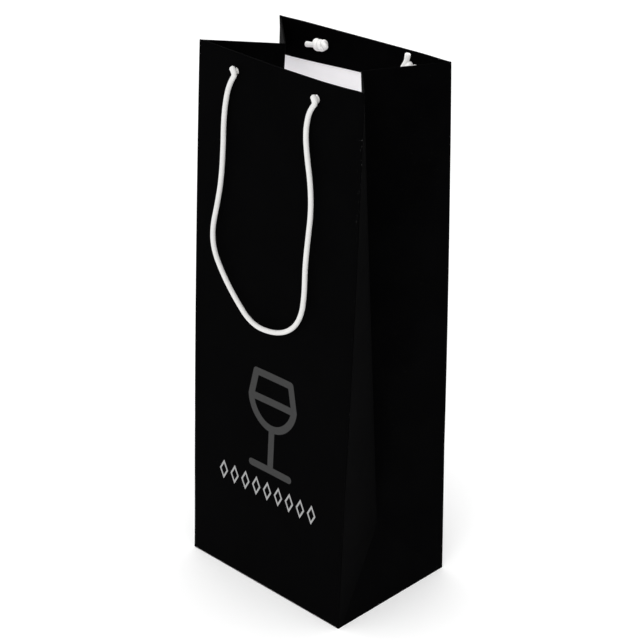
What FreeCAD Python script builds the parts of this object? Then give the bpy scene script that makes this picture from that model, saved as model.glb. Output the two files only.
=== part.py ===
"""Paper gift bag for one wine bottle: a folded and glued sheet with two rope handles.

Frame: millimetres, +Z up. The origin is the middle of the base, on the surface that the bag stands on.
The front face looks along -Y, and +X is to the right of somebody facing it. The bag stands open, with its
walls leaning in towards the mouth and its side gussets folded inwards along their centre creases.
"""

import FreeCAD
import Part
import math
import os

Vector = FreeCAD.Vector

# Outside of the bag
WIDTH = 127.0
DEPTH = 92.0
HEIGHT = 326.0

# How far the top of each wall stands in from its bottom fold, at its left and right edges
FRONT_LEAN = (17.0, 17.0)
BACK_LEAN = (12.5, 7.0)
WALL_STRIPS = 8  # a wall is this many upright strips side by side, each of two flat triangles

# Sheet materials
PAPER = 0.35
TOP_BOARD = 1.0
BASE_BOARD = 1.2

# Side gussets: how far each centre crease stands in at the mouth, and at the tip of the triangle at its foot
CREASE_INSET = {"left": 35.0, "right": 29.0}
APEX_INSET = 13.0
APEX_HEIGHT = DEPTH / 2
CREASE_GAP = 0.15  # half of the room between the two halves of a gusset
EDGE_GAP = PAPER + 0.6  # from a wall's outer face to the gusset beside it
GUSSET_SHEET = 0.4  # the halves are swept this far inwards, which leaves about PAPER square to each face
GUSSET_SWEEP_DEG = 30.0
TRIANGLE_GAP = 0.4  # leaves room for the halves above the triangle
GUSSET_HEM_SPAN = (0.10, 0.94)  # where its hem starts and ends, as shares of the way from wall to crease
GUSSET_HEM_DROP = 0.4
GUSSET_HEM_LIFT = 0.05  # between the hem and the half that it lies on
SIDES = {"left": -1, "right": 1}

# Turned-in hem at the mouth, and the boards inside it
HEM_DEPTH = 22.0
HEM_SIDE_GAP = 4.5
TOP_BOARD_DEPTH = 17.5
TOP_BOARD_DROP = 2.0  # the boards stop this far below the fold, which is soft above them
TOP_BOARD_SIDE_GAP = 5.5

# Bottom folds
FOLD_HEIGHT = 0.5  # the walls start this high, above their fold line
FLAP_REACH = 14.0  # how far the two glued bottom flaps pass the middle
FLAP_SIDE_GAP = 0.7
FLAP_BACK_GAP = 0.7
TUCK_LENGTH = 45.0
TUCK_TAPER = 25.0
TUCK_SIDE_GAP = 1.2
BASE_BOARD_WIDTH = 123.0
BASE_BOARD_DEPTH = 89.0
SEAM_FLAP_WIDTH = 13.0
SEAM_FLAP_SIDE_GAP = 2.0
SEAM_FLAP_FOOT = 4.0
SEAM_FLAP_HEAD_GAP = 1.0  # below the hem

# Rope handles
ROPE_RADIUS = 1.6
HOLE_RADIUS = 2.5
HOLE_SPACING = 62.8
HOLE_SHIFT = 1.4  # each wall's pair of holes is punched this far left of its middle, seen from outside
HOLE_DROP = 12.0
HOLE_HEIGHT = HEIGHT - HOLE_DROP
PUNCH_LENGTH = 10.0  # the punch passes this far each way from a wall's outer face
ROPE_STANDOFF = 1.9  # from a wall's outer face to the rope's centreline
KNOT_RADIUS = 4.3
KNOT_HALF_LENGTH = 5.8
KNOT_CLEARANCE = 0.3
LOBE_DEG = 45.0

# The free part of each rope, from hole to hole, as (x, drop below the top edge) on its wall
FRONT_ROPE = [
    (-32.8, 12.0), (-38.4, 23.7), (-40.4, 39.7), (-40.6, 58.0), (-41.9, 77.0), (-44.7, 93.0),
    (-47.7, 107.5), (-46.3, 120.3), (-38.9, 132.3), (-28.3, 144.7), (-13.8, 156.2), (4.6, 158.7),
    (18.5, 150.7), (25.9, 138.7), (27.8, 123.8), (27.2, 108.3), (28.2, 92.0), (30.0, 75.0),
    (29.0, 59.6), (25.8, 45.2), (24.1, 32.7), (25.6, 21.2), (30.0, 12.0),
]
BACK_ROPE = [
    (-30.0, 12.0), (-35.0, 22.6), (-37.2, 37.5), (-37.2, 56.0), (-38.4, 75.0), (-41.3, 92.0),
    (-42.1, 108.5), (-38.3, 124.5), (-29.9, 139.0), (-17.1, 151.0), (-1.0, 156.0), (15.1, 152.0),
    (28.1, 141.5), (36.5, 127.0), (39.9, 110.5), (39.1, 93.0), (36.7, 76.0), (36.3, 58.5),
    (38.1, 41.5), (37.8, 26.0), (32.8, 12.0),
]

# Each knot's wall and side, its place beside and above its hole, and its cut tail's end from there
KNOTS = [
    ("front", "left", (1.0, 0.5), (8.0, -6.0)),
    ("front", "right", (0.5, 0.5), (-6.0, -7.5)),
    ("back", "left", (3.8, 3.0), (-12.2, -2.0)),
    ("back", "right", (4.4, 2.5), (0.8, 9.3)),
]


class Wall:
    """A leaning wall, with places on it given as x, height z and n in from the outer face.

    The lean may differ from left to right, so that the wall is slightly twisted."""

    def __init__(self, outward, lean):
        self.outward = outward
        self.lean = lean
        self.inward = Vector(0, -outward, 0)

    def point(self, x, z, n=0.0):
        left, right = self.lean
        lean = (left + right) / 2 + (right - left) * x / WIDTH
        return Vector(x, self.outward * (DEPTH / 2 - lean * z / HEIGHT - n), z)

    def layer(self, near, thickness):
        """The whole wall as a sheet that starts near in from the outer face, made of flat triangles."""
        edges = [WIDTH * (i / WALL_STRIPS - 0.5) for i in range(WALL_STRIPS + 1)]
        facets = []
        for left, right in zip(edges, edges[1:]):
            foot_left, foot_right = self.point(left, 0, near), self.point(right, 0, near)
            top_left, top_right = self.point(left, HEIGHT, near), self.point(right, HEIGHT, near)
            facets.append(prism([foot_left, foot_right, top_right], self.inward * thickness))
            facets.append(prism([foot_left, top_right, top_left], self.inward * thickness))
        return facets[0].multiFuse(facets[1:]).removeSplitter()

    def plate(self, left, right, low, high, near, thickness):
        """The part of a layer from x left to right and z low to high."""
        room = Part.makeBox(right - left, 2 * DEPTH, high - low, Vector(left, -DEPTH, low))
        return self.layer(near, thickness).common(room)

    def hole_places(self):
        """x of the left and right holes."""
        middle = self.outward * HOLE_SHIFT
        return middle - HOLE_SPACING / 2, middle + HOLE_SPACING / 2

    def punched(self, solid):
        """The solid with the two rope holes through it."""
        for x in self.hole_places():
            start = self.point(x, HOLE_HEIGHT, -PUNCH_LENGTH)
            solid = solid.cut(Part.makeCylinder(HOLE_RADIUS, 2 * PUNCH_LENGTH, start, self.inward))
        return solid


WALLS = {"front": Wall(-1, FRONT_LEAN), "back": Wall(1, BACK_LEAN)}


def prism(points, sweep):
    """The flat polygon through the points, swept along a vector."""
    return Part.Face(Part.makePolygon(points + points[:1])).extrude(sweep)


def slab(outline, low, high):
    """A flat plate lying level, from its outline as (x, y) and its lowest and highest z."""
    return prism([Vector(x, y, low) for x, y in outline], Vector(0, 0, high - low))


def wall_panel(wall):
    half = WIDTH / 2
    return wall.punched(wall.plate(-half, half, FOLD_HEIGHT, HEIGHT, 0, PAPER))


def wall_board(wall):
    top = HEIGHT - TOP_BOARD_DROP
    half = WIDTH / 2 - TOP_BOARD_SIDE_GAP
    return wall.punched(wall.plate(-half, half, top - TOP_BOARD_DEPTH, top, PAPER, TOP_BOARD))


def wall_hem(wall):
    """The sheet turned over the board and down its inside."""
    half = WIDTH / 2 - HEM_SIDE_GAP
    leaf = wall.plate(-half, half, HEIGHT - HEM_DEPTH, HEIGHT, PAPER + TOP_BOARD, PAPER)
    fold = wall.plate(-half, half, HEIGHT - PAPER, HEIGHT, PAPER, TOP_BOARD)
    return wall.punched(leaf.fuse(fold))


def seam_flap():
    """The glued flap that closes the sheet, down the inside of the back wall's right-hand edge."""
    right = WIDTH / 2 - SEAM_FLAP_SIDE_GAP
    high = HEIGHT - HEM_DEPTH - SEAM_FLAP_HEAD_GAP
    return WALLS["back"].plate(right - SEAM_FLAP_WIDTH, right, SEAM_FLAP_FOOT, high, PAPER, PAPER)


def gusset_corners(side, wall):
    """The corners of one gusset half: crease tip above the base, crease top, wall top, wall bottom."""
    edge_x = SIDES[side] * WIDTH / 2
    crease_y = wall.outward * CREASE_GAP
    apex = Vector(edge_x - SIDES[side] * APEX_INSET, crease_y, APEX_HEIGHT)
    crease_top = Vector(edge_x - SIDES[side] * CREASE_INSET[side], crease_y, HEIGHT)
    return apex, crease_top, wall.point(edge_x, HEIGHT, EDGE_GAP), wall.point(edge_x, 0, EDGE_GAP)


def gusset_half(side, wall):
    """Half a gusset above its base triangle: two flat facets, with a fold from the tip to the wall top."""
    apex, crease_top, wall_top, wall_bottom = gusset_corners(side, wall)
    turn = math.radians(GUSSET_SWEEP_DEG)
    sweep = Vector(-SIDES[side] * math.cos(turn), wall.outward * math.sin(turn), 0) * GUSSET_SHEET
    lower = prism([wall_bottom, apex, wall_top], sweep)
    upper = prism([apex, crease_top, wall_top], sweep)
    return lower.fuse(upper).removeSplitter()


def gusset_hem(side, wall):
    """The hem turned in along the top of one gusset half, lying on the inside of its upper facet."""
    apex, crease_top, wall_top, _ = gusset_corners(side, wall)
    along = crease_top - wall_top
    down = (apex - crease_top).normalize()
    inward = along.cross(down).normalize()
    if inward.x * SIDES[side] > 0:
        inward = inward * -1
    offset = inward * (GUSSET_SHEET + GUSSET_HEM_LIFT)
    start, end = GUSSET_HEM_SPAN
    outline = [(start, GUSSET_HEM_DROP), (end, GUSSET_HEM_DROP), (end, HEM_DEPTH), (start, HEM_DEPTH)]
    points = [wall_top + along * a + down * d + offset for a, d in outline]
    return prism(points, inward * PAPER)


def gusset_triangle(side):
    """The flat triangle at the foot of a gusset, which leans in from the base fold to the crease's tip."""
    sign = SIDES[side]
    half = DEPTH / 2 - EDGE_GAP - TRIANGLE_GAP
    tip = Vector(sign * (WIDTH / 2 - APEX_INSET), 0, APEX_HEIGHT)
    foot = Vector(sign * WIDTH / 2, 0, 0)
    slope = (tip - foot).normalize()
    corners = [foot + Vector(0, -half, 0), foot + Vector(0, half, 0), tip - slope * 2 * TRIANGLE_GAP]
    return prism(corners, Vector(-sign * PAPER, 0, 0))


def base_outer_flap():
    """The bottom flap of the front wall, outermost, which the bag stands on."""
    half = WIDTH / 2 - FLAP_SIDE_GAP
    front, back = -DEPTH / 2, FLAP_REACH
    return slab([(-half, front), (half, front), (half, back), (-half, back)], 0, PAPER)


def base_inner_flap():
    """The bottom flap of the back wall, glued on the front one."""
    half = WIDTH / 2 - FLAP_SIDE_GAP
    front, back = -FLAP_REACH, DEPTH / 2 - FLAP_BACK_GAP
    return slab([(-half, front), (half, front), (half, back), (-half, back)], PAPER, 2 * PAPER)


def base_tuck(side):
    """The bottom flap of a gusset, tucked in first, with its corners cut by the diagonal folds."""
    outer = SIDES[side] * (WIDTH / 2 - FLAP_SIDE_GAP)
    inner = outer - SIDES[side] * TUCK_LENGTH
    wide = DEPTH / 2 - TUCK_SIDE_GAP
    narrow = wide - TUCK_TAPER
    outline = [(outer, -wide), (inner, -narrow), (inner, narrow), (outer, wide)]
    return slab(outline, 2 * PAPER, 3 * PAPER)


def base_board():
    """The loose board on the floor of the bag."""
    x, y = BASE_BOARD_WIDTH / 2, BASE_BOARD_DEPTH / 2
    low = 3 * PAPER
    return slab([(-x, -y), (x, -y), (x, y), (-x, y)], low, low + BASE_BOARD)


def rounded_path(points):
    """Straight runs joined by tangent arcs, and the radius of each arc."""
    edges, radii = [], []
    start = points[0]
    for before, corner, after in zip(points, points[1:], points[2:]):
        arriving = (corner - before).normalize()
        leaving = (after - corner).normalize()
        turn = arriving.getAngle(leaving)
        cut = 0.45 * min(before.distanceToPoint(corner), corner.distanceToPoint(after))
        radius = cut / math.tan(turn / 2)
        first, last = corner - arriving * cut, corner + leaving * cut
        to_centre = (leaving - arriving).normalize()
        middle = corner + to_centre * (radius / math.cos(turn / 2) - radius)
        edges += [Part.LineSegment(start, first).toShape(), Part.Arc(first, middle, last).toShape()]
        radii.append(radius)
        start = last
    edges.append(Part.LineSegment(start, points[-1]).toShape())
    return Part.Wire(edges), radii


def rope(name, wall, route):
    """A handle's free loop, round-ended where it turns out of its two holes."""
    points = [wall.point(x, HEIGHT - drop, -ROPE_STANDOFF) for x, drop in route]
    path, radii = rounded_path(points)
    first, last = points[1] - points[0], points[-2] - points[-1]
    ring = Part.Wire(Part.Circle(points[0], first, ROPE_RADIUS).toShape())
    solid = path.makePipeShell([ring], True, False)
    expected = math.pi * ROPE_RADIUS**2 * path.Length
    print(f"{name}: length {path.Length:.1f}, radii {min(radii):.1f} to {max(radii):.1f},",
          f"volume {solid.Volume:.1f} against {expected:.1f}")
    for end, into in ((points[0], first), (points[-1], last)):
        solid = solid.fuse(Part.makeSphere(ROPE_RADIUS, end, into * -1, 0, 90, 360))
    return solid


def knot_lump(centre, tail):
    """A round-ended lump whose cut tail of rope runs out along its own axis."""
    axis = Vector(tail).normalize()
    side = axis.cross(Vector(0, 1, 0)).normalize()
    straight = KNOT_HALF_LENGTH - KNOT_RADIUS
    neck = straight + math.sqrt(KNOT_RADIUS**2 - ROPE_RADIUS**2)
    lobe = math.radians(LOBE_DEG)

    def place(along, out):
        return centre + axis * along + side * out

    back = place(-straight - KNOT_RADIUS * math.cos(lobe), KNOT_RADIUS * math.sin(lobe))
    half_angle = math.acos(ROPE_RADIUS / KNOT_RADIUS) / 2
    shoulder = place(straight + KNOT_RADIUS * math.sin(half_angle), KNOT_RADIUS * math.cos(half_angle))
    outline = [
        Part.Arc(place(-KNOT_HALF_LENGTH, 0), back, place(-straight, KNOT_RADIUS)),
        Part.LineSegment(place(-straight, KNOT_RADIUS), place(straight, KNOT_RADIUS)),
        Part.Arc(place(straight, KNOT_RADIUS), shoulder, place(neck, ROPE_RADIUS)),
        Part.LineSegment(place(neck, ROPE_RADIUS), place(tail.Length, ROPE_RADIUS)),
        Part.LineSegment(place(tail.Length, ROPE_RADIUS), place(tail.Length, 0)),
        Part.LineSegment(place(tail.Length, 0), place(-KNOT_HALF_LENGTH, 0)),
    ]
    face = Part.Face(Part.Wire([edge.toShape() for edge in outline]))
    return face.revolve(centre, axis, 360)


def knot(wall, side, offset, tail):
    """The knot inside the mouth, with the short length of rope through the hole."""
    hole_x = wall.hole_places()[side == "right"]
    depth = 2 * PAPER + TOP_BOARD + KNOT_CLEARANCE + KNOT_RADIUS
    beside, above = offset
    lump = knot_lump(wall.point(hole_x + beside, HOLE_HEIGHT + above, depth), Vector(tail[0], 0, tail[1]))
    return lump.fuse(Part.makeCylinder(ROPE_RADIUS, depth, wall.point(hole_x, HOLE_HEIGHT), wall.inward))


def nodes():
    """Every sub-part of the bag by name."""
    parts = {
        "side_seam_flap": seam_flap(),
        "base_outer_flap": base_outer_flap(),
        "base_inner_flap": base_inner_flap(),
        "base_board": base_board(),
        "front_handle_rope": rope("front_handle_rope", WALLS["front"], FRONT_ROPE),
        "back_handle_rope": rope("back_handle_rope", WALLS["back"], BACK_ROPE),
    }
    for wall_name, wall in WALLS.items():
        parts[f"{wall_name}_panel"] = wall_panel(wall)
        parts[f"{wall_name}_top_board"] = wall_board(wall)
        parts[f"{wall_name}_top_hem"] = wall_hem(wall)
    for side in SIDES:
        parts[f"base_tuck_{side}"] = base_tuck(side)
        parts[f"{side}_gusset_triangle"] = gusset_triangle(side)
        for wall_name, wall in WALLS.items():
            parts[f"{side}_gusset_{wall_name}"] = gusset_half(side, wall)
            parts[f"{side}_gusset_{wall_name}_hem"] = gusset_hem(side, wall)
    for wall_name, side, offset, tail in KNOTS:
        parts[f"{wall_name}_{side}_knot"] = knot(WALLS[wall_name], side, offset, tail)
    return parts


os.makedirs("parts", exist_ok=True)
for node, shape in nodes().items():
    print(f"{node}: valid {shape.isValid()}, solids {len(shape.Solids)}, volume {shape.Volume:.1f}")
    shape.exportStep(f"parts/{node}.step")
for wall_name, wall in WALLS.items():
    left, right = (wall.point(x, HOLE_HEIGHT, -ROPE_STANDOFF) for x in wall.hole_places())
    middle, along = (left + right) / 2, (right - left).normalize()
    print(f"{wall_name} handle axis: middle {middle.x:.3f} {middle.y:.4f} {middle.z:.1f},",
          f"along {along.x:.5f} {along.y:.5f}")
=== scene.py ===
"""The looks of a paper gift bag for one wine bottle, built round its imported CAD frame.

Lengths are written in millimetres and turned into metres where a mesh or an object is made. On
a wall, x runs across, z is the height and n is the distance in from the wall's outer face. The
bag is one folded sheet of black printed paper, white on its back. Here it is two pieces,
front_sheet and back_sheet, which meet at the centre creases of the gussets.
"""

import math

import bmesh
import bpy
import numpy as np
from mathutils import Matrix, Vector


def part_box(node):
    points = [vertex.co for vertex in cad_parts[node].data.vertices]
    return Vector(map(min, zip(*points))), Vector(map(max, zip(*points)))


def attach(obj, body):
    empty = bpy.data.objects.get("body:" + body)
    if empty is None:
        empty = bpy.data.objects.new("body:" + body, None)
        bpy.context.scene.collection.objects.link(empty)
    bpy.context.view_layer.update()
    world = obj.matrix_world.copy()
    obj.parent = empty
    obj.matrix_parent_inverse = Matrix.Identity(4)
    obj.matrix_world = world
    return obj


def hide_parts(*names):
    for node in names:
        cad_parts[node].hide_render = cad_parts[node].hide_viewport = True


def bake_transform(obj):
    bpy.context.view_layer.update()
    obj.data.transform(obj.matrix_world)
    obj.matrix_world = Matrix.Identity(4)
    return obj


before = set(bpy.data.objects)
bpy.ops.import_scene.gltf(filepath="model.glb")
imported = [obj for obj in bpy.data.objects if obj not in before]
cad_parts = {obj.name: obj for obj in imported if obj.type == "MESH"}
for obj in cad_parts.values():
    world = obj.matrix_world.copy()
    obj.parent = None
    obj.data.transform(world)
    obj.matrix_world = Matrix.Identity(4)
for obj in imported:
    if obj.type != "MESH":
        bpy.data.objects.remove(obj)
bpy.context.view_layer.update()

MM = 0.001
PANEL_LOW, PANEL_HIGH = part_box("front_panel")
WIDTH = (PANEL_HIGH.x - PANEL_LOW.x) / MM
HEIGHT = PANEL_HIGH.z / MM
DEPTH = -2 * PANEL_LOW.y / MM
HALF = WIDTH / 2
LEFT, RIGHT = -1, 1  # the bag's sides, for somebody who faces its front

# The sheet
PAPER = 0.35
BOARD = 1.0
HEM_DEPTH = 22.0
HEM_LOW_SHARE = 0.35  # how much of a hem's rise lies below HEM_DEPTH, at its left end
HEM_RISE_ALONG = (-60, 15)  # x where a hem's rise begins and ends
BOARD_END = (4.9, 1.6)  # from the upright edges: where the board ends, and bare paper begins
WALL_EDGE = (-3.0, -0.5)  # how far off the wall's face the mouth stops being a wall's
MOUTH_ROUNDING = 0.35  # the most that the turn at the mouth falls off to its two sides
DIP_REACH = 36.0  # the mouth's dips fade out this far below it
PUNCH_REACH = (-3.0, 4.0)  # from outside the wall to inside its hem

# The roundings of the folds, as how far they reach along the sheet
CORNER_CUT = 0.6
CREASE_CUT = 0.3
DIAGONAL_CUT = 0.7
SOFT_CUT = 14.0  # what the gusset's bend gains as it softens, over SOFT_RISE above the apex
SOFT_RISE = (2.0, 70.0)
CUT_SHARE = 0.47  # the most of a straight run that one rounding takes

# The gussets. The apex is where the foot's triangle meets the centre crease.
APEX_INSET = 13.0
APEX_HEIGHT = DEPTH / 2
CREASE_INSET = {LEFT: 38.0, RIGHT: 29.1}  # at the mouth
CREASE_DIP = {LEFT: 1.0, RIGHT: 3.0}  # how far the crease ends below the walls' tops
CREASE_OVERLAP = 0.02  # each half of the sheet goes this far past the middle line
BEND_STANDOFF = 1.5  # the bend between crease and corner stays this far off the middle line
BEND_SHIFT = 0.06  # and it lies this share of the way from its fold line to the crease

# How the soft paper stands away from its flat facets
PANEL_SAG = 1.3
SAG_TOP = 296.0  # the stiff mouth begins here
RIPPLE = 0.35
CORNER_BOW = 0.8  # how far the upright edges stand out half-way from BOW_FOOT to the mouth
BOW_FOOT = 90.0

# Wear, from 0 to 1, and how far it reaches from its edge
FOLD_WEAR = 0.12
MOUTH_WEAR, MOUTH_WEAR_REACH = 0.06, 0.8
FOOT_WEAR, FOOT_WEAR_REACH = 0.3, 1.5
RUBBED_WEAR = 0.9  # the specks on the front's right-hand edge
RUBBED_FROM, RUBBED_TO = (235, 245), (300, 312)  # heights where the specks begin and end
HEM_WEAR_SHARE = 0.3

# Ropes, with the holes as the CAD has them
ROPE_RADIUS = 1.6
HOLE_RADIUS = 2.5
HOLE_SPACING = 62.8
HOLE_SHIFT = 1.4
HOLE_DROP = 12.0
ROPE_STANDOFF = 1.9
YARNS = 8  # each way
BRAID_PITCH = 9.0
BRAID_VALLEY, BRAID_CROWN = 0.855, 0.92  # shares of the rope's radius
AROUND = 24  # points round a rope

# Control points of the two loops, as (x, drop below the mouth)
FRONT_ROPE = [
    (-35.2, 9.4), (-31.4, 12.7), (-34.6, 17.0), (-38.0, 24.7), (-40.3, 39.7), (-40.3, 58.0),
    (-41.4, 77.0), (-44.5, 93.0), (-48.1, 107.5), (-47.0, 120.5), (-39.1, 132.9), (-28.0, 145.2),
    (-13.8, 157.0), (4.4, 156.6), (18.3, 150.0), (25.9, 138.7), (27.5, 123.8), (27.2, 108.3),
    (28.6, 92.0), (30.2, 75.0), (28.9, 59.6), (25.6, 45.2), (23.8, 32.7), (25.2, 22.6),
    (27.9, 17.2), (30.8, 13.9), (27.8, 10.2),
]
BACK_ROPE = [
    (-30.0, 12.0), (-35.0, 22.6), (-37.2, 37.5), (-37.2, 56.0), (-38.4, 75.0), (-41.3, 92.0),
    (-42.1, 108.5), (-38.3, 124.5), (-29.9, 139.0), (-17.1, 151.0), (-1.0, 156.0), (15.1, 152.0),
    (28.1, 141.5), (36.5, 127.0), (39.9, 110.5), (39.1, 93.0), (36.7, 76.0), (36.3, 58.5),
    (38.1, 41.5), (37.8, 26.0), (32.8, 12.0),
]


class Wall:
    """The front or back wall.

    outward is the sign of y outside it. lean is how far its top leans in at the left and right,
    which may differ, as a slight twist. hem_rise is how much its hem's edge rises from left to
    right, and mouth lists (x, dip) along its top edge. tuck is how far the feet of its upright
    edges are tucked in, and holes gives each rope hole's (x, drop below the mouth).
    """

    def __init__(self, name, outward, lean, hem_rise, mouth, tuck, holes):
        self.name = name
        self.outward = outward
        self.lean = lean
        self.hem_rise = hem_rise
        self.mouth = mouth
        self.tuck = tuck
        self.holes = holes

    def face_y(self, x, z):
        """y of the outer face as the CAD has it."""
        left, right = self.lean
        lean = (left + right) / 2 + (right - left) * x / WIDTH
        return self.outward * (DEPTH / 2 - lean * z / HEIGHT)

    def sag(self, x, z):
        """How far the panel's soft middle stands in from its straight face, below the mouth."""
        across = np.clip(1 - (x / HALF) ** 2, 0, 1)
        upright = np.sin(np.pi * np.clip(z / SAG_TOP, 0, 1)) ** 1.3
        ripple = np.sin(0.062 * x + 0.021 * z + 1.1) * np.sin(0.036 * z - 0.02 * x + 0.4)
        return across * upright * (PANEL_SAG + RIPPLE * ripple)

    def point(self, x, z, n=0.0):
        """A place on the real, slightly sagging wall."""
        return np.array([x, self.face_y(x, z) - self.outward * (n + self.sag(x, z)), z])

    def dip(self, x):
        """How far the mouth's edge lies below its straight line, eased between its places."""
        places, dips = zip(*self.mouth)
        ease = 5.0
        near = np.interp(x, places, dips)
        beside = np.interp(x - ease, places, dips), np.interp(x + ease, places, dips)
        return (beside[0] + 2 * near + beside[1]) / 4

    def cad_hole_x(self, side):
        """x of a rope hole as the CAD has it."""
        return self.outward * HOLE_SHIFT + side * HOLE_SPACING / 2


FRONT = Wall("front", -1, lean=(17.0, 17.0), hem_rise=0.0,
             mouth=[(-HALF, 0.7), (-5.0, 2.4), (32.0, 2.6), (50.0, 2.1), (HALF, 1.2)],
             tuck={LEFT: 1.2, RIGHT: 0.0}, holes={LEFT: (-33.5, 12.2), RIGHT: (29.0, 12.8)})
BACK = Wall("back", 1, lean=(12.5, 7.0), hem_rise=2.7,
            mouth=[(-HALF, 0.2), (-45.0, -0.3), (45.0, -0.4), (HALF, 0.2)],
            tuck={LEFT: 0.0, RIGHT: 0.0}, holes={LEFT: (-30.0, 12.0), RIGHT: (32.8, 12.0)})
WALLS = (FRONT, BACK)


# ---------------------------------------------------------------- materials

# The sockets that a Mix node uses for colours
MIX_SHARE, MIX_FIRST, MIX_SECOND, MIX_RESULT = 0, 6, 7, 2


class Surface:
    """A Principled material and the nodes that feed it. Noise is in turns per metre."""

    def __init__(self, name):
        self.material = bpy.data.materials.new(name)
        self.material.use_nodes = True
        self.nodes = self.material.node_tree.nodes
        self.links = self.material.node_tree.links
        self.shader = self.nodes["Principled BSDF"]
        self.coordinates = self.nodes.new("ShaderNodeTexCoord")

    def feed(self, socket, value):
        """Links a node's output to a socket, or sets a number or colour on the socket itself."""
        if isinstance(value, bpy.types.NodeSocket):
            self.links.new(value, socket)
        else:
            socket.default_value = (*value, 1.0) if isinstance(value, tuple) else value

    def shade(self, values):
        """Sets the shader's inputs by name."""
        for name, value in values.items():
            self.feed(self.shader.inputs[name], value)

    def attribute(self, name):
        node = self.nodes.new("ShaderNodeAttribute")
        node.attribute_name = name
        return node.outputs["Fac"]

    def noise(self, scale, detail=4.0, roughness=0.55):
        node = self.nodes.new("ShaderNodeTexNoise")
        node.inputs["Scale"].default_value = scale
        node.inputs["Detail"].default_value = detail
        node.inputs["Roughness"].default_value = roughness
        self.links.new(self.coordinates.outputs["Object"], node.inputs["Vector"])
        return node.outputs["Fac"]

    def ramp(self, value, low=0.0, high=1.0, start=0.3, end=0.7):
        """A value that goes from start to end, mapped smoothly to low..high."""
        node = self.nodes.new("ShaderNodeMapRange")
        node.interpolation_type = "SMOOTHSTEP"
        node.inputs["From Min"].default_value = start
        node.inputs["From Max"].default_value = end
        node.inputs["To Min"].default_value = low
        node.inputs["To Max"].default_value = high
        self.links.new(value, node.inputs["Value"])
        return node.outputs["Result"]

    def mix(self, share, first, second):
        node = self.nodes.new("ShaderNodeMix")
        node.data_type = "RGBA"
        self.feed(node.inputs[MIX_FIRST], first)
        self.feed(node.inputs[MIX_SECOND], second)
        self.feed(node.inputs[MIX_SHARE], share)
        return node.outputs[MIX_RESULT]

    def product(self, first, second):
        node = self.nodes.new("ShaderNodeMath")
        node.operation = "MULTIPLY"
        self.feed(node.inputs[0], first)
        self.feed(node.inputs[1], second)
        return node.outputs[0]

    def bump(self, height, distance, strength, under=None):
        """Roughens the surface, on top of another bump if there is one."""
        node = self.nodes.new("ShaderNodeBump")
        node.inputs["Distance"].default_value = distance
        node.inputs["Strength"].default_value = strength
        self.links.new(height, node.inputs["Height"])
        if under:
            self.links.new(under, node.inputs["Normal"])
        self.links.new(node.outputs["Normal"], self.shader.inputs["Normal"])
        return node.outputs["Normal"]


def printed_paper():
    """Black printed paper under a matt film: fine grain, faint marks, pale specks where worn."""
    surface = Surface("printed_black_paper")
    grain = surface.noise(2600, 3.0)
    mottle = surface.noise(38, 5.0)
    fibre = surface.noise(900, 6.0, 0.7)
    black = surface.mix(surface.ramp(mottle), (0.0006, 0.0006, 0.0007), (0.0011, 0.0011, 0.0012))
    chips = surface.ramp(fibre, start=0.64, end=0.72)
    worn = surface.product(surface.attribute("wear"), chips)
    surface.shade({
        "Base Color": surface.mix(worn, black, (0.30, 0.30, 0.30)),
        "Roughness": surface.ramp(mottle, 0.78, 0.88),
        "Specular IOR Level": 0.02,
        "Specular Tint": (0.30, 0.30, 0.31),
    })
    under = surface.bump(mottle, 0.0002, 0.2)
    surface.bump(grain, 0.00003, 0.4, under)
    return surface.material


def white_paper():
    """The sheet's uncoated back: soft white with cloudy fibres, and a faint painted glow."""
    surface = Surface("white_paper_back")
    cloud = surface.noise(160, 6.0, 0.65)
    fibre = surface.noise(1500, 5.0, 0.7)
    white = (0.935, 0.925, 0.935)
    darker = tuple(0.94 * c for c in white)
    surface.shade({
        "Base Color": surface.mix(surface.ramp(cloud), darker, white),
        "Roughness": 0.82,
        "Specular IOR Level": 0.3,
        # Painted light: a faint glow that lifts the white where the mouth shades it
        "Emission Color": (0.95, 0.94, 0.96),
        "Emission Strength": 0.16,
    })
    surface.bump(fibre, 0.00004, 0.8)
    return surface.material


def cut_edge():
    """The paper's pale core where it is cut or punched."""
    surface = Surface("paper_cut_edge")
    fibre = surface.noise(3000, 4.0, 0.7)
    surface.shade({
        "Base Color": surface.mix(fibre, (0.20, 0.20, 0.20), (0.52, 0.51, 0.50)),
        "Roughness": 0.9,
    })
    surface.bump(fibre, 0.00005, 0.8)
    return surface.material


def greyboard():
    """Recycled grey board: speckled pulp with dark flecks."""
    surface = Surface("recycled_greyboard")
    pulp = surface.noise(420, 8.0, 0.75)
    flecks = surface.noise(1900, 3.0, 0.6)
    base = surface.mix(surface.ramp(pulp), (0.27, 0.245, 0.215), (0.43, 0.40, 0.355))
    dark = surface.ramp(flecks, 0, 0.7, 0.66, 0.74)
    surface.shade({
        "Base Color": surface.mix(dark, base, (0.10, 0.09, 0.08)),
        "Roughness": 0.9,
    })
    surface.bump(pulp, 0.00012, 0.8)
    return surface.material


def ink(name, grey):
    """Flat grey ink on the black film, with the film's grain."""
    surface = Surface(name)
    grain = surface.noise(2600, 3.0)
    patchy = surface.noise(300, 5.0)
    surface.shade({
        "Base Color": surface.mix(surface.ramp(patchy), (grey,) * 3, (grey * 1.08,) * 3),
        "Roughness": 0.5,
        "Specular IOR Level": 0.16,
    })
    surface.bump(grain, 0.00003, 0.5)
    return surface.material


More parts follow.
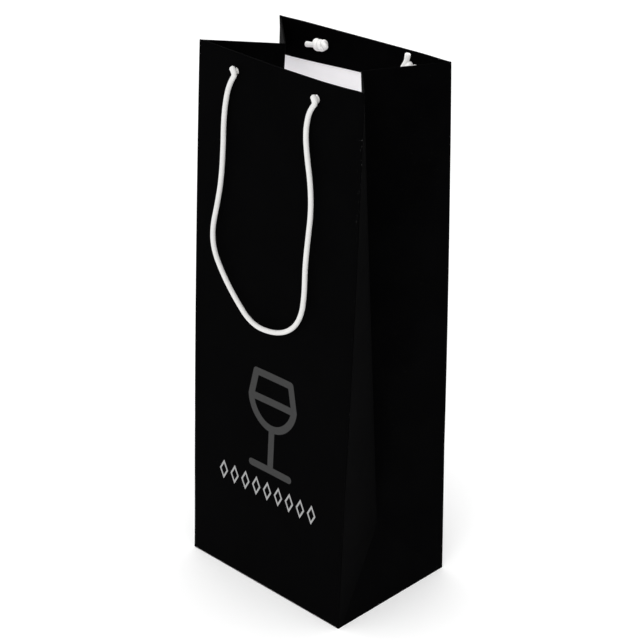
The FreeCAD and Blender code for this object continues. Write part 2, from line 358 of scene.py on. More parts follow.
def rope_fibre(name, brightness):
    """Off-white braided cord: matt, with fine filaments, painted shade in its braid's valleys and a
    faint painted glow.
    """
    surface = Surface(name)
    yarn = surface.noise(3800, 4.0, 0.7)
    cloud = surface.noise(260, 4.0)
    tint = (1.0, 0.993, 0.978)
    # Painted shade: the braid's valleys get a darker colour, where shade falls between the yarns
    valley, middling, clean = (tuple(share * brightness * c for c in tint)
                               for share in (0.80, 0.94, 1.0))
    base = surface.mix(surface.ramp(cloud), middling, clean)
    surface.shade({
        "Base Color": surface.mix(surface.attribute("relief"), valley, base),
        "Roughness": 0.78,
        "Specular IOR Level": 0.3,
        "Sheen Weight": 0.25,
        "Sheen Roughness": 0.5,
        # Painted light: a faint glow that lifts the cord's shaded sides
        "Emission Color": (1.0, 0.99, 0.97),
        "Emission Strength": 0.08,
    })
    surface.bump(yarn, 0.00008, 0.7)
    return surface.material


PRINTED = printed_paper()
WHITE = white_paper()
CORE = cut_edge()
GREYBOARD = greyboard()
MOTIF_INK = ink("dark_grey_ink", 0.026)
ROW_INK = ink("light_grey_ink", 0.30)
ROPE = rope_fibre("handle_braid", 0.62)
KNOT_ROPE_PAINTED_BRIGHTER = rope_fibre("knot_braid_painted_brighter", 0.88)  # painted light: the same braid, painted brighter for the knots inside the mouth
SHEET_MATERIALS = (PRINTED, WHITE, CORE)
PRINTED_SIDE, WHITE_SIDE, CORE_SIDE = range(3)


# ---------------------------------------------------------------- meshes

def smooth_step(value, low, high):
    """0 up to low, 1 from high on, and a smooth rise between them."""
    share = np.clip((value - low) / (high - low), 0, 1)
    return share * share * (3 - 2 * share)


def link_object(name, data):
    linked = bpy.data.objects.new(name, data)
    bpy.context.scene.collection.objects.link(linked)
    return linked


def make_object(name, vertices, faces, materials, face_materials=None, sharp_deg=35.0):
    """A mesh object from places in millimetres, smooth but for its sharp edges."""
    mesh = bpy.data.meshes.new(name)
    mesh.from_pydata((np.asarray(vertices) * MM).tolist(), [], [list(face) for face in faces])
    for material in materials:
        mesh.materials.append(material)
    if face_materials is not None:
        mesh.polygons.foreach_set("material_index", np.asarray(face_materials, dtype=np.int32))
    mesh.validate()
    shape = bmesh.new()
    shape.from_mesh(mesh)
    bmesh.ops.recalc_face_normals(shape, faces=shape.faces)
    shape.to_mesh(mesh)
    shape.free()
    mesh.shade_smooth()
    mesh.set_sharp_from_angle(angle=math.radians(sharp_deg))
    return link_object(name, mesh)


def store_on_points(piece, name, values):
    """Keeps one number for each vertex, which a material reads by its name."""
    attribute = piece.data.attributes.new(name, "FLOAT", "POINT")
    attribute.data.foreach_set("value", values.astype(np.float32).ravel())


def grid_faces(rows, columns, start=0):
    """Quads of a grid of vertices that are stored row by row."""
    index = start + np.arange(rows * columns).reshape(rows, columns)
    quads = np.stack([index[:-1, :-1], index[:-1, 1:], index[1:, 1:], index[1:, :-1]], axis=-1)
    return quads.reshape(-1, 4)


def rim(rows, columns, start=0):
    """The outline of such a grid, as a closed ring of vertex numbers."""
    index = start + np.arange(rows * columns).reshape(rows, columns)
    return np.concatenate([index[0, :-1], index[:-1, -1], index[-1, :0:-1], index[:0:-1, 0]])


def thick_sheet(name, printed, white, wear=None, materials=SHEET_MATERIALS):
    """A closed sheet from its printed and white sides, each a grid of places."""
    rows, columns = printed.shape[:2]
    count = rows * columns
    outer, inner = rim(rows, columns), rim(rows, columns, count)
    band = np.stack([outer, np.roll(outer, -1), np.roll(inner, -1), inner], axis=-1)
    side = grid_faces(rows, columns)
    faces = np.concatenate([side, grid_faces(rows, columns, count)[:, ::-1], band])
    face_materials = [PRINTED_SIDE] * len(side) + [WHITE_SIDE] * len(side)
    face_materials += [CORE_SIDE] * len(band)
    vertices = np.concatenate([printed.reshape(-1, 3), white.reshape(-1, 3)])
    piece = make_object(name, vertices, faces, materials, face_materials)
    if wear is not None:
        store_on_points(piece, "wear", np.concatenate([wear.ravel(), np.zeros(wear.size)]))
    return piece


def apply_modifiers(piece):
    bpy.context.view_layer.update()
    evaluated = piece.evaluated_get(bpy.context.evaluated_depsgraph_get())
    mesh = bpy.data.meshes.new_from_object(evaluated)
    piece.modifiers.clear()
    piece.data = mesh


# ---------------------------------------------------------------- the folded sheet

def rounded_corner(before, corner, after, cut, count, limits):
    """Points that round a corner between two straight runs, for every row at once."""
    def toward(other, limit):
        run = other - corner
        length = np.linalg.norm(run, axis=-1, keepdims=True)
        return corner + run / length * np.minimum(cut[:, None], limit * length)

    first, last = toward(before, limits[0]), toward(after, limits[1])
    t = np.linspace(0, 1, count)[None, :, None]
    return (1 - t) ** 2 * first[:, None] + 2 * t * (1 - t) * corner[:, None] + t**2 * last[:, None]


def run_between(first, last, count):
    """Evenly spaced points inside the run from first to last."""
    t = (np.arange(count) + 1)[None, :, None] / (count + 1)
    return first[:, None] * (1 - t) + last[:, None] * t


def gusset_line(wall, side, z):
    """The section through one gusset half at each height: crease, shoulder, bend and corner.

    The shoulder is where the crease's rounding ends. The bend is the fold of the foot's triangle
    up to the apex, and above it the soft twist that runs out to the mouth's corner.
    """
    foot = np.clip(z / APEX_HEIGHT, 0, 1)
    share = np.clip((z - APEX_HEIGHT) / (HEIGHT - APEX_HEIGHT), 0, 1)
    inset = APEX_INSET * foot + (CREASE_INSET[side] - APEX_INSET) * share
    crease_x = side * (HALF - inset)
    crease = np.stack([crease_x, 0 * z - CREASE_OVERLAP * wall.outward], axis=-1)
    shoulder = np.stack([crease_x, 0 * z + CREASE_CUT * wall.outward], axis=-1)

    top_y = wall.face_y(side * HALF, HEIGHT)
    low = z < APEX_HEIGHT
    bend_x = np.where(low, crease_x, side * (HALF - APEX_INSET * (1 - share)))
    bend_y = np.where(low, wall.outward * DEPTH / 2 * (1 - foot), top_y * share)
    bend_y = wall.outward * np.hypot(bend_y, BEND_STANDOFF)
    bend = np.stack([bend_x, bend_y], axis=-1)
    bend += (shoulder - bend) * BEND_SHIFT

    rise = np.clip((z - BOW_FOOT) / (HEIGHT - BOW_FOOT), 0, 1)
    bow = CORNER_BOW * np.sin(np.pi * rise) ** 0.7
    bow -= wall.tuck[side] * (1 - smooth_step(z, 0, BOW_FOOT))
    corner = np.stack([side * (HALF + bow), wall.face_y(side * HALF, z)], axis=-1)
    return crease, shoulder, bend, corner


def section(wall, z):
    """The outer face round half the bag at each height, from the left crease to the right.

    Gives the points, the inward normals, and how near each point is to a fold, from 0 to 1.
    """
    path = [*gusset_line(wall, LEFT, z), *gusset_line(wall, RIGHT, z)[::-1]]
    soft = DIAGONAL_CUT + SOFT_CUT * smooth_step(z, *(APEX_HEIGHT + rise for rise in SOFT_RISE))
    crease, corner = CREASE_CUT + 0 * z, CORNER_CUT + 0 * z
    either = (CUT_SHARE, CUT_SHARE)
    # Each fold's rounding: its reach, its points, its limits and how much of a fold it is
    folds = [
        (crease, 5, (1.0, CUT_SHARE), 1.0), (soft, 7, either, 0.25), (corner, 7, either, 1.0),
        (corner, 7, either, 1.0), (soft, 7, either, 0.25), (crease, 5, (CUT_SHARE, 1.0), 1.0),
    ]
    runs = [10, 12, 44, 12, 10]  # points on the straight run after each fold
    arcs = [rounded_corner(*path[i:i + 3], cut, count, limits)
            for i, (cut, count, limits, _) in enumerate(folds)]
    nearness = [[share] * count for _, count, _, share in folds]
    parts, fold = [arcs[0]], [*nearness[0]]
    for i, count in enumerate(runs):
        parts += [run_between(arcs[i][:, -1], arcs[i + 1][:, 0], count), arcs[i + 1]]
        fold += [0.0] * count + nearness[i + 1]
    points = np.concatenate(parts, axis=1)
    tangent = np.gradient(points, axis=1)
    tangent /= np.linalg.norm(tangent, axis=-1, keepdims=True)
    inward = np.stack([tangent[..., 1], -tangent[..., 0]], axis=-1) * wall.outward
    inward[:, 0], inward[:, -1] = (1, 0), (-1, 0)
    return points, inward, np.array(fold)


def sheet_rows():
    """The sheet's course from its foot up, over the mouth and down inside, row by row.

    Gives each row's height before the mouth's dips, and its angle: 0 outside, rising to pi over
    the mouth. The rows are closer at the foot, at the apex of the gussets and near the mouth.
    """
    outside = [0.15, 0.7, 1.6, 3.0, 5.0, 8.0, 12.0]
    outside += [*np.linspace(17, 41, 7), *np.linspace(43, 52, 7), *np.linspace(57, 297, 37)]
    outside += [*np.arange(301.0, 323.0, 3.0), 324.0]
    turn = np.pi * np.linspace(0, 1, 11)
    inside = np.linspace(2.0, HEM_DEPTH, 10)
    height = np.concatenate([outside, HEIGHT + 0 * turn, HEIGHT - inside])
    angle = np.concatenate([np.zeros(len(outside)), turn, np.full(len(inside), np.pi)])
    return height, angle


def hem_offset(x, on_wall):
    """How far in from the outer face the middle of the turned-in hem lies: over a wall's board,
    or on bare paper at the corners and all along the gussets."""
    over_board, on_paper = 1.5 * PAPER + BOARD, 1.9 * PAPER
    board_end, paper = (HALF - distance for distance in BOARD_END)
    share = on_wall * (1 - smooth_step(np.abs(x), board_end, paper))
    return on_paper + (over_board - on_paper) * share


def sheet_heights(wall, height, angle, top_x, top_y, on_wall, drop):
    """The middle of the sheet's height at each row and column, with the mouth's dips in it."""
    z = np.repeat(height[:, None], len(top_x), axis=1)
    rise = wall.hem_rise / HEM_DEPTH * (HEM_LOW_SHARE - smooth_step(top_x, *HEM_RISE_ALONG))
    hem_end = 1 + rise * on_wall
    inside = angle >= np.pi
    z[inside] = HEIGHT - (HEIGHT - z[inside]) * hem_end[None, :]
    turning = height == HEIGHT
    z[turning] = HEIGHT - PAPER / 2 - drop[None, :] * (1 - np.sin(angle[turning])[:, None])

    from_crease = np.clip(np.abs(top_y / wall.face_y(top_x, HEIGHT)), 0, 1)
    crease_dip = np.where(top_x < 0, CREASE_DIP[LEFT], CREASE_DIP[RIGHT])
    corner_dip = wall.dip(np.sign(top_x) * HALF)
    along_gusset = corner_dip * from_crease + crease_dip * (1 - from_crease)
    dip = along_gusset + (wall.dip(top_x) - along_gusset) * on_wall
    return z - dip[None, :] * smooth_step(height, HEIGHT - DIP_REACH, HEIGHT)[:, None]


def sheet_wear(wall, height, angle, z, fold, top_x, top_y):
    """Wear along the folds, the mouth, the foot and the front's right-hand edge."""
    wear = np.repeat(fold[None, :], len(height), axis=0) * FOLD_WEAR
    wear = np.maximum(wear, MOUTH_WEAR * np.exp(-((z - HEIGHT) / MOUTH_WEAR_REACH) ** 2))
    wear = np.maximum(wear, FOOT_WEAR * np.exp(-(z / FOOT_WEAR_REACH) ** 2))
    if wall is FRONT:
        # The rounded edge itself, without the crease and the soft bend
        corner = (top_x > HALF - 1.0) & (fold > 0.9) & (np.abs(top_y) > 5)
        rubbed = smooth_step(height, *RUBBED_FROM) * (1 - smooth_step(height, *RUBBED_TO))
        wear = np.maximum(wear, RUBBED_WEAR * corner[None, :] * rubbed[:, None])
    wear[angle >= np.pi] *= HEM_WEAR_SHARE
    return wear


def folded_sheet(wall):
    """Front or back half of the bag's sheet: panel, two gusset halves and the turned-in hem."""
    height, angle = sheet_rows()
    top, _, fold = section(wall, np.array([HEIGHT]))
    top_x, top_y = top[0, :, 0], top[0, :, 1]
    on_wall = smooth_step(np.abs(top_y) - np.abs(wall.face_y(top_x, HEIGHT)), *WALL_EDGE)
    reach = (hem_offset(top_x, on_wall) - PAPER / 2) / 2  # the radius of the turn at the mouth
    drop = np.minimum(reach, MOUTH_ROUNDING)
    z = sheet_heights(wall, height, angle, top_x, top_y, on_wall, drop)
    points = np.empty((*z.shape, 2))
    inward = np.empty_like(points)
    columns = np.arange(len(top_x))
    for row, heights in enumerate(z):
        # Every column is taken from the section at its own height
        level, normals, _ = section(wall, heights)
        points[row], inward[row] = level[columns, columns], normals[columns, columns]
    x, y = points[..., 0], points[..., 1]
    settle = wall.sag(x, z) * (np.abs(y) > np.abs(wall.face_y(x, z)) - 0.5)
    n_middle = PAPER / 2 + reach[None, :] * (1 - np.cos(angle)[:, None])
    sides = []
    for sign in (-1, 1):
        n = n_middle + sign * np.cos(angle)[:, None] * PAPER / 2 + settle
        side_z = z - sign * np.sin(angle)[:, None] * PAPER / 2
        sides.append(np.concatenate([points + inward * n[..., None], side_z[..., None]], axis=-1))
    wear = sheet_wear(wall, height, angle, z, fold, top_x, top_y)
    return thick_sheet(f"{wall.name}_sheet", *sides, wear)


def punch(piece, wall):
    """Cuts the two rope holes through a sheet or board."""
    t = np.linspace(0, 2 * np.pi, 40, endpoint=False)
    ring = np.stack([HOLE_RADIUS * np.cos(t), 0 * t, HOLE_RADIUS * np.sin(t)], axis=-1)
    count = len(t)
    faces = [[i, (i + 1) % count, count + (i + 1) % count, count + i] for i in range(count)]
    faces += [list(range(count)), list(range(count, 2 * count))]
    for x, drop in wall.holes.values():
        start, end = (wall.point(x, HEIGHT - drop, n) for n in PUNCH_REACH)
        cutter = make_object("punch", np.concatenate([ring + start, ring + end]), faces,
                             SHEET_MATERIALS, [CORE_SIDE] * len(faces))
        modifier = piece.modifiers.new("hole", "BOOLEAN")
        modifier.operation = "DIFFERENCE"
        modifier.solver = "EXACT"
        modifier.object = cutter
        apply_modifiers(piece)
        bpy.data.objects.remove(cutter)
    piece.data.set_sharp_from_angle(angle=math.radians(35))
    return piece


def build_sheets():
    """The two halves of the bag, punched for the ropes, in place of the CAD's panels, gussets and
    hems.

    Along the wall's own normal, the wall lies DEPTH / 2 from the middle of the base, and the top
    of the creases lies as far from it as the wall leans.
    """
    for wall in WALLS:
        piece = punch(folded_sheet(wall), wall)
        lean = sum(wall.lean) / 2
        normal = np.array([0, wall.outward, lean / HEIGHT])
        normal /= np.linalg.norm(normal)
        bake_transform(piece)
        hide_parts(f"{wall.name}_panel", f"{wall.name}_top_hem")
        for side in ("left", "right"):
            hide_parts(f"{side}_gusset_{wall.name}", f"{side}_gusset_{wall.name}_hem")
            if wall is FRONT:
                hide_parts(f"{side}_gusset_triangle")


# ---------------------------------------------------------------- bottom and hidden boards

TUCK_TAPER = 25.0
FLAP_TRIM = 0.6  # the flaps end this far inside the folds that hide them
BOARD_GAPS = (0.02, 0.04)  # air between a top board and the paper outside and inside it
FLAP_NARROWING, FLAP_NARROWING_REACH = 1.2, 4.0  # at the top of the seam flap


def flat_sheet(name, outline, low, thickness, materials, rounding, edge_rounding):
    """A level sheet from its outline, with softened corners and edges."""
    shape = bmesh.new()
    ring = []
    neighbours = zip(outline[-1:] + outline[:-1], outline, outline[1:] + outline[:1])
    for before, corner, after in neighbours:
        b, c, a = (np.array(p, float) for p in (before, corner, after))
        first = c + (b - c) / np.linalg.norm(b - c) * rounding
        last = c + (a - c) / np.linalg.norm(a - c) * rounding
        for t in np.linspace(0, 1, 6):
            ring.append((1 - t) ** 2 * first + 2 * t * (1 - t) * c + t**2 * last)
    face = shape.faces.new([shape.verts.new((*(p * MM), low * MM)) for p in ring])
    for moved in bmesh.ops.extrude_face_region(shape, geom=[face])["geom"]:
        if isinstance(moved, bmesh.types.BMVert):
            moved.co.z += thickness * MM
    bmesh.ops.recalc_face_normals(shape, faces=shape.faces)
    sharp = [e for e in shape.edges if len(e.link_faces) == 2 and e.calc_face_angle() > 1.0
             and abs(e.verts[0].co.z - e.verts[1].co.z) < thickness * MM / 2]
    bmesh.ops.bevel(shape, geom=sharp, offset=edge_rounding * MM, segments=2, affect="EDGES",
                    profile=0.6)
    for f in shape.faces:
        up = f.normal.z
        f.material_index = PRINTED_SIDE if up < -0.9 else WHITE_SIDE if up > 0.9 else CORE_SIDE
    mesh = bpy.data.meshes.new(name)
    shape.to_mesh(mesh)
    shape.free()
    for material in materials:
        mesh.materials.append(material)
    mesh.shade_smooth()
    mesh.set_sharp_from_angle(angle=math.radians(50))
    return link_object(name, mesh)


def node_outline(node, taper=0.0, trim=0.0):
    """A node's footprint in millimetres, less a trim at its two ends. A taper narrows a node
    that lies left or right of the middle towards the middle of the bag."""
    low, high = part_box(node)
    x0, y0, x1, y1 = low.x / MM + trim, low.y / MM, high.x / MM - trim, high.y / MM
    at_x0, at_x1 = taper if x0 > 0 else 0, taper if x1 < 0 else 0
    return [(x0, y0 + at_x0), (x1, y0 + at_x1), (x1, y1 - at_x1), (x0, y1 - at_x0)]


def build_bottom():
    """The glued flaps, the two tucks above them and the loose board on top."""
    tapers = {"base_outer_flap": 0, "base_inner_flap": 0,
              "base_tuck_left": TUCK_TAPER, "base_tuck_right": TUCK_TAPER}
    for node, taper in tapers.items():
        low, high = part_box(node)
        piece = flat_sheet(f"{node}_sheet", node_outline(node, taper, FLAP_TRIM), low.z / MM,
                           (high.z - low.z) / MM, SHEET_MATERIALS, rounding=1.2,
                           edge_rounding=0.06)
        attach(piece, "bag_base")
        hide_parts(node)
    low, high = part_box("base_board")
    board = flat_sheet("base_board_sheet", node_outline("base_board"), low.z / MM,
                       (high.z - low.z) / MM, (GREYBOARD,) * 3, rounding=2.5,
                       edge_rounding=0.18)
    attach(board, "bag_base")
    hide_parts("base_board")


def build_top_boards():
    """The stiffening boards inside the hem, which follow the walls' twist and the dips."""
    for wall in WALLS:
        low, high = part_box(f"{wall.name}_top_board")
        across = np.linspace(low.x, high.x, 33) / MM
        x, z = np.meshgrid(across, np.linspace(low.z, high.z, 9) / MM)
        z = z - np.maximum(wall.dip(x), 0)
        outer, inner = (np.stack(wall.point(x, z, PAPER + n), axis=-1)
                        for n in (BOARD_GAPS[0], BOARD - BOARD_GAPS[1]))
        board = thick_sheet(f"{wall.name}_board", outer, inner, materials=(GREYBOARD,) * 3)
        piece = punch(board, wall)
        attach(piece, f"{wall.name}_wall")
        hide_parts(f"{wall.name}_top_board")


def build_seam_flap():
    """The glued strip down the inside of the back wall's right-hand edge, narrower at its top."""
    low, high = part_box("side_seam_flap")
    x = np.linspace(low.x / MM, high.x / MM, 9)
    z = np.linspace(low.z / MM, high.z / MM, 60)
    grid_x, grid_z = np.meshgrid(x, z)
    near_top = np.exp(-((grid_z - z[-1]) / FLAP_NARROWING_REACH) ** 2)
    grid_x = grid_x + FLAP_NARROWING * near_top * (x[-1] - grid_x) / (x[-1] - x[0])
    outer, inner = (np.stack(BACK.point(grid_x, grid_z, PAPER * layers), axis=-1)
                    for layers in (1.02, 2.02))
    piece = thick_sheet("seam_flap_sheet", outer, inner)
    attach(piece, "back_wall")
    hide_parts("side_seam_flap")


# ---------------------------------------------------------------- ropes and knots

def spline_points(name, points):
    """Close points along the smooth curve that has these places as its control points."""
    curve = bpy.data.curves.new(name, "CURVE")
    curve.dimensions = "3D"
    curve.resolution_u = 40
    spline = curve.splines.new("NURBS")
    spline.points.add(len(points) - 1)
    for target, place in zip(spline.points, points):
        target.co = (*(np.asarray(place) * MM), 1.0)
    spline.order_u = 3
    spline.use_endpoint_u = True
    line = link_object(name, curve)
    bpy.context.view_layer.update()
    evaluated = line.evaluated_get(bpy.context.evaluated_depsgraph_get())
    mesh = bpy.data.meshes.new_from_object(evaluated)
    found = np.array([v.co for v in mesh.vertices]) / MM
    bpy.data.objects.remove(line)
    bpy.data.curves.remove(curve)
    bpy.data.meshes.remove(mesh)
    return found


def evenly_spaced(points, spacing):
    """The same line with even steps, and how far along it each new point is."""
    steps = np.linalg.norm(np.diff(points, axis=0), axis=1)
    along = np.concatenate([[0], np.cumsum(steps)])
    wanted = np.linspace(0, along[-1], int(round(along[-1] / spacing)) + 1)
    return np.stack([np.interp(wanted, along, points[:, k]) for k in range(3)], axis=-1), wanted


def carried_frames(points):
    """Two directions square to the line at every point, carried along it without twisting."""
    tangent = np.gradient(points, axis=0)
    tangent /= np.linalg.norm(tangent, axis=1, keepdims=True)
    side = np.cross(tangent[0], (0.3, 1.0, 0.2))
    sides = []
    for direction in tangent:
        side = side - direction * np.dot(side, direction)
        side /= np.linalg.norm(side)
        sides.append(side)
    sides = np.array(sides)
    return sides, np.cross(tangent, sides)


def end_cap(distance, reach, least):
    """How the rope's radius falls, down to a least share, within reach of its end."""
    share = np.clip(distance / reach, 0, 1)
    return np.maximum(np.sqrt(1 - (1 - share) ** 2), least)


def braided_tube(name, line, material, swell, cut=False, spacing=0.45):
    """A braided cord along a line. It starts round, and ends round too unless it is cut."""
    points, along = evenly_spaced(line, spacing)
    total = along[-1]
    first, second = carried_frames(points)
    t = np.linspace(0, 2 * np.pi, AROUND, endpoint=False)[None, :]
    turn = (along / BRAID_PITCH * 2 * np.pi)[:, None]
    one, other = (np.abs(np.sin(YARNS / 2 * (t + way * turn / 2))) for way in (-1, 1))
    relief = np.maximum(one, other) ** 0.6
    round_cap, cut_cap = (ROPE_RADIUS, 0.02), (0.45, 0.72)
    cap = end_cap(along, *round_cap) * end_cap(total - along, *(cut_cap if cut else round_cap))
    size = ROPE_RADIUS * cap * swell(along, total)
    radius = size[:, None] * (BRAID_VALLEY + (BRAID_CROWN - BRAID_VALLEY) * relief)
    around = np.cos(t)[..., None] * first[:, None] + np.sin(t)[..., None] * second[:, None]
    rings = points[:, None] + radius[..., None] * around
    index = np.arange(len(points) * AROUND).reshape(-1, AROUND)
    beside = np.roll(index, -1, axis=1)
    quads = np.stack([index[:-1], beside[:-1], beside[1:], index[1:]], axis=-1).reshape(-1, 4)
    faces = quads.tolist() + [index[0, ::-1].tolist(), index[-1].tolist()]
    piece = make_object(name, rings.reshape(-1, 3), faces, (material,), sharp_deg=60)
    store_on_points(piece, "relief", relief)
    return piece, points


def elbow_swell(along, total):
    """A rope is a little fatter where it turns hard out of its two holes."""
    swell, reach = 0.14, 5.0
    return 1 + swell * (np.exp(-(along / reach) ** 4) + np.exp(-((total - along) / reach) ** 4))


def build_rope(wall, route):
    """A handle's loop, hanging outside its wall from elbow to elbow."""
    name = f"{wall.name}_rope"
    control = [(x, wall.face_y(x, HEIGHT - drop) + wall.outward * ROPE_STANDOFF, HEIGHT - drop)
               for x, drop in route]
    piece, points = braided_tube(name, spline_points(name, control), ROPE, elbow_swell)
    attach(piece, f"{wall.name}_handle")
    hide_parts(f"{wall.name}_handle_rope")


WRAP_RADIUS = 2.0
WRAP_HALF = 3.2
KNOT_GAP = 0.3  # between a knot and the hem that it rests on
KNOTS = [
    # Wall and side; where the rope comes through, from its hole; the knot's middle, from the
    # CAD's hole; the tail's end, from that middle; all as (x, up). Then whether the tail leaves
    # along the wrapped part or across it.
    (FRONT, LEFT, (-1.1, -0.3), (0.4, -0.2), (8.0, -6.0), "along"),
    (FRONT, RIGHT, (-1.2, -1.0), (1.0, 0.5), (-6.0, -7.5), "along"),
    (BACK, LEFT, (0.0, 0.0), (3.0, 2.6), (-10.4, -1.4), "along"),
    (BACK, RIGHT, (0.0, 0.0), (4.6, 4.2), (0.9, 8.0), "across"),
]


def wound(start, end, count, first_along, last_along, fullness):
    """Places on a winding round the knot's middle, between two angles in degrees."""
    places = []
    for turn in np.linspace(start, end, count):
        along = first_along + (last_along - first_along) * (turn - start) / (end - start)
        radius, angle = WRAP_RADIUS * fullness(turn), math.radians(turn)
        places.append((along, radius * math.cos(angle), radius * math.sin(angle)))
    return places


def wrapped_places(leaving, reach):
    """An overhand knot's line in its own frame: along the wrapped part, up across it, and out
    from the wall. reach is how far its tail's end is from its middle."""
    if leaving == "along":
        places = wound(270, 1125, 22, -WRAP_HALF, WRAP_HALF,
                       lambda turn: 1 + 0.28 * math.exp(-((turn - 375) / 40) ** 2))
        places += [(4.6, 0.7, 1.2), (4.7, -0.9, 0.3), (2.4, -0.5, 0.2), (-1.0, 0.0, 0.0),
                   (-3.5, 0.0, 0.2)]
        return places + [(-reach * share, 0.0, 0.4) for share in (0.5, 0.75, 1.0)]
    places = [(-3.6, -0.8, -0.6), (-1.5, 0.0, 0.0), (1.5, 0.0, 0.0), (4.4, 0.8, -0.2)]
    places += wound(300, -250, 14, 3.8, -1.6, lambda turn: 1.0)
    return places + [(-0.4, reach * share, 1.2 - share) for share in (0.45, 0.7, 1.0)]


def knot_line(wall, side, through, middle, tail, leaving):
    """Control points of a knotted end: from the elbow through the hole, wrapped round itself,
    and out as a tail."""
    hole_x, hole_drop = wall.holes[side]
    stub_x, stub_z = hole_x + through[0], HEIGHT - hole_drop + through[1]
    lump_x, lump_z = wall.cad_hole_x(side) + middle[0], HEIGHT - HOLE_DROP + middle[1]
    lump_n = 2 * PAPER + BOARD + KNOT_GAP + WRAP_RADIUS + ROPE_RADIUS
    reach = math.hypot(*tail)
    tail_x, tail_z = tail[0] / reach, tail[1] / reach
    along_x, along_z = (-tail_x, -tail_z) if leaving == "along" else (tail_z, -tail_x)
    across_x, across_z = -along_z, along_x
    places = [(stub_x, stub_z, n) for n in (-ROPE_STANDOFF, -0.8, 0.9, 2.6)]
    for along, across, out in wrapped_places(leaving, reach):
        x = lump_x + along * along_x + across * across_x
        z = lump_z + along * along_z + across * across_z
        places.append((x, z, lump_n + out))
    return [wall.point(x, z, n) for x, z, n in places]


def through_hole(along, total):
    """The rope is squeezed in its hole, packed in the knot, and a little untwisted at its end."""
    tail = total - along
    packed = 0.30 * smooth_step(along, 1.8, 4.5) - 0.06 * (1 - smooth_step(tail, 5.0, 8.0))
    return 0.80 + packed + 0.10 * (1 - smooth_step(tail, 1.0, 3.5))


def build_knots():
    """The four rope ends, each through its hole and knotted inside the mouth."""
    for wall, side, *places in KNOTS:
        node = f"{wall.name}_{'left' if side == LEFT else 'right'}_knot"
        line = spline_points(node, knot_line(wall, side, *places))
        piece, _ = braided_tube(f"{node}_rope", line, KNOT_ROPE_PAINTED_BRIGHTER, through_hole, cut=True,
                                spacing=0.4)
        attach(piece, f"{wall.name}_wall")
        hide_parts(node)


# ---------------------------------------------------------------- the print on the front

INK_FILM = 0.03  # how far ink stands out from the paper
INK_ROOT = 0.05  # and how far it reaches in
GLASS_STROKE = 4.6
LOZENGE_STROKE = 1.1


def ribbon(line, width, closed):
    """The two edges of a stroke along a flat line of (x, z)."""
    line = np.asarray(line, float)
    if closed:
        before, after = np.roll(line, 1, axis=0), np.roll(line, -1, axis=0)
    else:
        before, after = np.vstack([line[:1], line[:-1]]), np.vstack([line[1:], line[-1:]])
    arriving, leaving = line - before, after - line
    for vectors, other in ((arriving, leaving), (leaving, arriving)):
        empty = np.linalg.norm(vectors, axis=1) < 1e-9
        vectors[empty] = other[empty]
        vectors /= np.linalg.norm(vectors, axis=1, keepdims=True)
    along = arriving + leaving
    along /= np.linalg.norm(along, axis=1, keepdims=True)
    square = np.stack([-along[:, 1], along[:, 0]], axis=-1)
    stretch = 1 / np.maximum(np.abs((arriving * along).sum(axis=1, keepdims=True)), 0.35)
    half = width / 2 * square * stretch
    return line + half, line - half


def round_ends(line, width):
    """A line lengthened at both ends by the narrowing steps of a half circle, with the width at
    each point."""
    line = np.asarray(line, float)
    t = np.linspace(0, np.pi / 2, 7)[:-1]
    first = (line[0] - line[1]) / np.linalg.norm(line[0] - line[1])
    last = (line[-1] - line[-2]) / np.linalg.norm(line[-1] - line[-2])
    before = [line[0] + first * width / 2 * math.cos(a) for a in t]
    after = [line[-1] + last * width / 2 * math.cos(a) for a in t[::-1]]
    narrowing = [max(math.sin(a), 0.02) for a in t]
    widths = narrowing + [1.0] * len(line) + narrowing[::-1]
    return np.vstack([before, line, after]), width * np.array(widths)[:, None]


def inked_strokes(name, strokes, material):
    """Printed strokes on the front panel, each (line, width, closed), as a film of ink."""
    vertices, faces = [], []
    for line, width, closed in strokes:
        if not closed:
            line, width = round_ends(line, width)
        left, right = ribbon(line, width, closed)
        count, start = len(left), len(vertices)
        for n in (-INK_FILM, INK_ROOT):
            for edge in (left, right):
                vertices += [FRONT.point(x, z, n) for x, z in edge]
        out_left, out_right, in_left, in_right = (start + k * count for k in range(4))
        for i in range(count if closed else count - 1):
            j = (i + 1) % count
            faces.append((out_left + i, out_left + j, out_right + j, out_right + i))
            faces.append((in_left + i, in_right + i, in_right + j, in_left + j))
            faces.append((out_left + i, in_left + i, in_left + j, out_left + j))
            faces.append((out_right + i, out_right + j, in_right + j, in_right + i))
        if not closed:
            end = count - 1
            faces.append((out_left, out_right, in_right, in_left))
            faces.append((out_left + end, in_left + end, in_right + end, out_right + end))
    piece = make_object(name, vertices, faces, (material,), sharp_deg=30)
    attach(piece, "front_wall")


def build_print():
    """A plain wine glass and, under it, a row of nine upright lozenges."""
    middle, rim_z, wine_z, foot_z = 2.0, 139.5, 123.5, 79.5
    rim_half, wine_half, bowl_depth = 14.0, 15.5, 17.0

    def level(z, half, count=12):
        return [(x, z) for x in np.linspace(middle - half, middle + half, count)]

    bowl = [(middle - rim_half, rim_z)]
    for a in np.linspace(0, np.pi, 25):
        bulge = 17.5 * math.cos(a) * (1 - 0.10 * math.sin(a))
        bowl.append((middle - bulge, wine_z - bowl_depth * math.sin(a)))
    bowl.append((middle + rim_half, rim_z))
    stem = [(middle, z) for z in np.linspace(wine_z - bowl_depth, foot_z, 12)]
    lines = (bowl, stem, level(foot_z, 15.5, 14), level(rim_z, rim_half),
             level(wine_z, wine_half))
    inked_strokes("glass_motif", [(line, GLASS_STROKE, False) for line in lines], MOTIF_INK)

    lozenges = []
    for k in range(9):
        x, z = -37.0 + 9.3 * k, 65.0
        corners = [(x, z + 5.2), (x + 2.9, z), (x, z - 5.2), (x - 2.9, z)]
        lozenges.append((corners, LOZENGE_STROKE, True))
    inked_strokes("lozenge_row", lozenges, ROW_INK)


# ---------------------------------------------------------------- studio

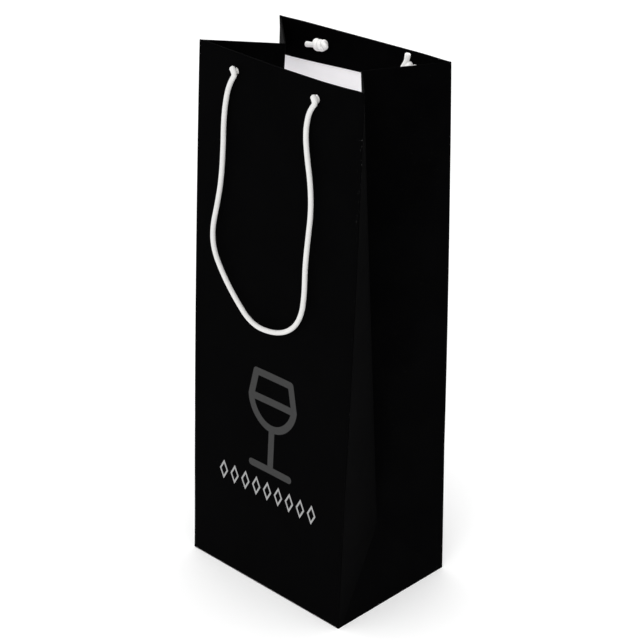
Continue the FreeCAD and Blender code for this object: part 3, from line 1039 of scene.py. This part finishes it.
AIM = Vector((0, 0, 0.15))
LAMPS = [
    # Name, place in metres, diameter, power
    ("key", Vector((0.95, -1.55, 1.45)), 1.2, 10.5),
    ("top", Vector((-0.5, -0.4, 2.4)), 1.8, 4.0),
]
FLOOR_HALF = 20.0
FLOOR_LEVEL = -0.0003  # just under the bag, so that their faces don't coincide


def build_studio():
    """A white surround, a pale floor and two soft lamps."""
    world = bpy.data.worlds.new("studio")
    bpy.context.scene.world = world
    world.use_nodes = True
    background = world.node_tree.nodes["Background"]
    background.inputs["Color"].default_value = (1.0, 1.0, 1.0, 1.0)
    background.inputs["Strength"].default_value = 1.05
    bpy.context.scene.view_settings.view_transform = "Standard"

    # The floor's faint glow keeps it as white as its surround
    surface = Surface("pale_floor")
    surface.shade({
        "Base Color": (0.93, 0.93, 0.93),
        "Roughness": 0.9,
        "Specular IOR Level": 0.1,
        "Emission Color": (1.0, 1.0, 1.0),
        "Emission Strength": 0.12,
    })
    mesh = bpy.data.meshes.new("floor")
    corners = [(x * FLOOR_HALF, y * FLOOR_HALF, FLOOR_LEVEL)
               for x, y in ((-1, -1), (1, -1), (1, 1), (-1, 1))]
    mesh.from_pydata(corners, [], [(0, 1, 2, 3)])
    mesh.materials.append(surface.material)
    link_object("floor", mesh)

    for name, place, size, power in LAMPS:
        lamp = bpy.data.lights.new(name, "AREA")
        lamp.shape = "DISK"
        lamp.size = size
        lamp.energy = power
        holder = link_object(name, lamp)
        holder.location = place
        holder.rotation_euler = (AIM - place).to_track_quat("-Z", "Y").to_euler()


def build_camera():
    """The viewpoint: three-quarter right, looking down, with a roll of a tenth of a degree."""
    azimuth, elevation, roll = (math.radians(angle) for angle in (44.628, 26.095, 0.103))
    back = Vector((math.sin(azimuth) * math.cos(elevation),
                   -math.cos(azimuth) * math.cos(elevation), math.sin(elevation)))
    lens = bpy.data.cameras.new("camera")
    lens.lens = 105.99
    lens.sensor_width = 36.0
    camera = link_object("camera", lens)
    camera.location = (0.69948, -0.70427, 0.6480)
    aim = (-back).to_track_quat("-Z", "Y").to_matrix()
    camera.rotation_euler = (aim @ Matrix.Rotation(roll, 3, "Z")).to_euler()
    bpy.context.scene.camera = camera


build_camera()
build_rope(FRONT, FRONT_ROPE)
build_rope(BACK, BACK_ROPE)
build_knots()
build_sheets()
build_seam_flap()
build_top_boards()
build_bottom()
build_print()
build_studio()
